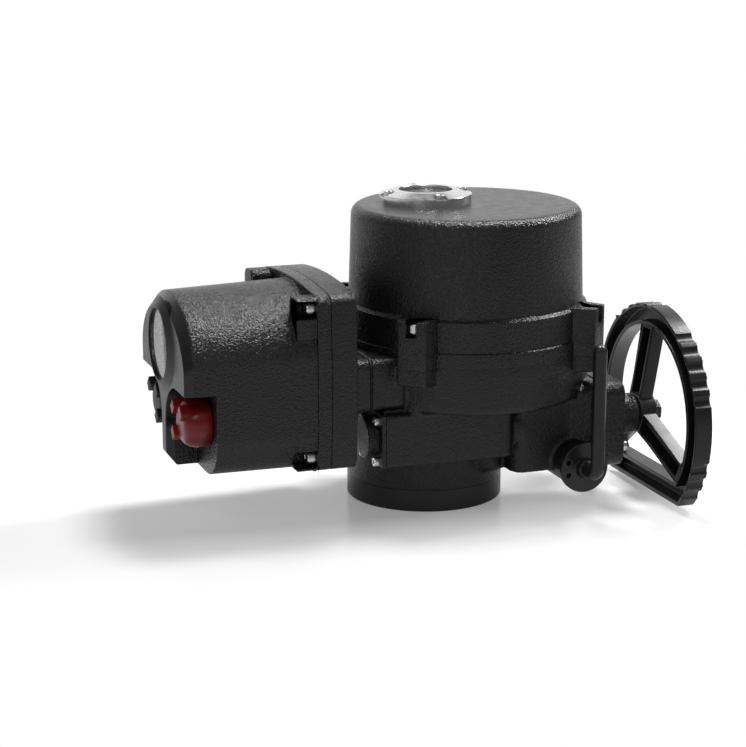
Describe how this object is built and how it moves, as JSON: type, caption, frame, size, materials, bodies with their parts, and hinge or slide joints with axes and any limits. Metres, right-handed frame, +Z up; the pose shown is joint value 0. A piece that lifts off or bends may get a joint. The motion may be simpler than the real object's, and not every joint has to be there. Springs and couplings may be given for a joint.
{
  "type": "quarter-turn electric actuator",
  "caption": "Quarter-turn electric actuator with worm drive, round motor cover, control head with window and knobs, clutch lever and handwheel",
  "frame": {"origin": "centre of the base's lower face, on the output axis", "axes": "+Z up along the output axis, +X toward the handwheel, -X toward the control head, -Y toward the front with the clutch lever"},
  "size_m": [0.4853, 0.2784, 0.2972],
  "materials": {
    "casting": "satin powder coat with fine texture",
    "dark_casting": "smooth satin paint",
    "stainless": "plain",
    "polished": "fine turned",
    "steel": "machined",
    "bronze": "machined",
    "brass": "plain",
    "bare_aluminium": "cast",
    "rubber": "matt",
    "glass": "clear",
    "indicator": "satin",
    "black_plastic": "matt",
    "black_gloss": "gloss",
    "red_plastic": "gloss",
    "board": "satin"
  },
  "bodies": {
    "housing": {"main_housing": "casting", "base_flange": "dark_casting", "base_flange_screws": "stainless", "top_cover": "casting", "cover_screws": "stainless", "cover_seal": "rubber", "sight_ring": "polished", "sight_ring_screws": "stainless", "sight_glass": "glass", "sight_gasket": "rubber", "worm_end_cap": "casting", "end_cap_screws": "stainless", "worm_bearings": "steel", "lower_bush": "bronze", "upper_bush": "bronze", "stop_screws": "stainless", "stop_lock_nuts": "stainless", "gear_plate": "bare_aluminium", "idler_stud": "steel", "motor": "bare_aluminium", "limit_switch_block": "black_plastic", "power_supply": "black_plastic", "fork_rail": "steel", "lever_bush": "bronze", "end_plate": "casting", "end_plate_screws": "stainless", "handwheel_bush": "bronze", "control_head_cover": "casting", "control_head_base": "casting", "control_head_seal": "rubber", "neck_gasket": "rubber", "control_head_screws": "stainless", "cable_entry_plugs": "black_plastic", "display_bezel": "casting", "display_glass": "glass", "display_module": "black_plastic", "control_board": "board", "board_standoffs": "brass", "terminal_block": "black_plastic", "rotary_switches": "black_plastic"},
    "output": {"drive_sleeve": "steel", "worm_wheel": "bronze", "indicator_spindle": "steel", "indicator_dial": "indicator", "limit_cams": "black_plastic"},
    "worm": {"worm_shaft": "steel", "feather_key": "steel"},
    "clutch": {"clutch_sleeve": "steel"},
    "motor_gear_body": {"motor_gear": "steel"},
    "idler": {"idler_gear": "steel"},
    "rotor": {"motor_pinion": "steel", "motor_shaft": "steel"},
    "lever": {"clutch_lever": "casting"},
    "fork": {"shift_fork": "bronze"},
    "handwheel_body": {"handwheel": "casting", "handwheel_shaft": "steel", "handwheel_washer": "stainless", "handwheel_nut": "stainless"},
    "red_knob": {"red_selector_knob": "red_plastic"},
    "black_knob": {"black_selector_knob": "black_gloss"}
  },
  "joints": [
    {"name": "output_turn", "type": "hinge", "parent": "housing", "child": "output", "pos_m": [0, 0, 0.082], "axis": [0, 0, 1], "range_deg": [0, 90]},
    {"name": "worm_turn", "type": "hinge", "parent": "housing", "child": "worm", "pos_m": [0, -0.08, 0.082], "axis": [1, 0, 0], "range_deg": [-2880, 0]},
    {"name": "motor_gear_turn", "type": "hinge", "parent": "housing", "child": "motor_gear_body", "pos_m": [0.086, -0.08, 0.082], "axis": [1, 0, 0], "range_deg": [-2880, 0]},
    {"name": "idler_turn", "type": "hinge", "parent": "housing", "child": "idler", "pos_m": [0.086, -0.066, 0.11353], "axis": [1, 0, 0], "range_deg": [0, 1852]},
    {"name": "rotor_turn", "type": "hinge", "parent": "housing", "child": "rotor", "pos_m": [0.086, -0.07, 0.14629], "axis": [1, 0, 0], "range_deg": [-3240, 0]},
    {"name": "lever_turn", "type": "hinge", "parent": "housing", "child": "lever", "pos_m": [0.1128, -0.125, 0.0461], "axis": [0, 1, 0], "range_deg": [0, 30]},
    {"name": "fork_slide", "type": "slide", "parent": "housing", "child": "fork", "axis": [1, 0, 0], "range_m": [0, 0.0041]},
    {"name": "clutch_slide", "type": "slide", "parent": "worm", "child": "clutch", "axis": [1, 0, 0], "range_m": [0, 0.0041]},
    {"name": "handwheel_turn", "type": "hinge", "parent": "housing", "child": "handwheel_body", "pos_m": [0.2, -0.08, 0.082], "axis": [1, 0, 0], "continuous": true},
    {"name": "red_knob_turn", "type": "hinge", "parent": "housing", "child": "red_knob", "pos_m": [-0.25, -0.0722, 0.109], "axis": [1, 0, 0], "range_deg": [-45, 45]},
    {"name": "black_knob_turn", "type": "hinge", "parent": "housing", "child": "black_knob", "pos_m": [-0.25, 0.0178, 0.109], "axis": [1, 0, 0], "range_deg": [-45, 45]}
  ],
  "couplings": [
    {"joint": "worm_turn", "follows": "output_turn", "ratio": -32},
    {"joint": "motor_gear_turn", "follows": "output_turn", "ratio": -32},
    {"joint": "idler_turn", "follows": "output_turn", "ratio": 20.571},
    {"joint": "rotor_turn", "follows": "output_turn", "ratio": -36},
    {"joint": "fork_slide", "follows": "lever_turn", "m_per_rad": 0.00764},
    {"joint": "clutch_slide", "follows": "lever_turn", "m_per_rad": 0.00764}
  ]
}
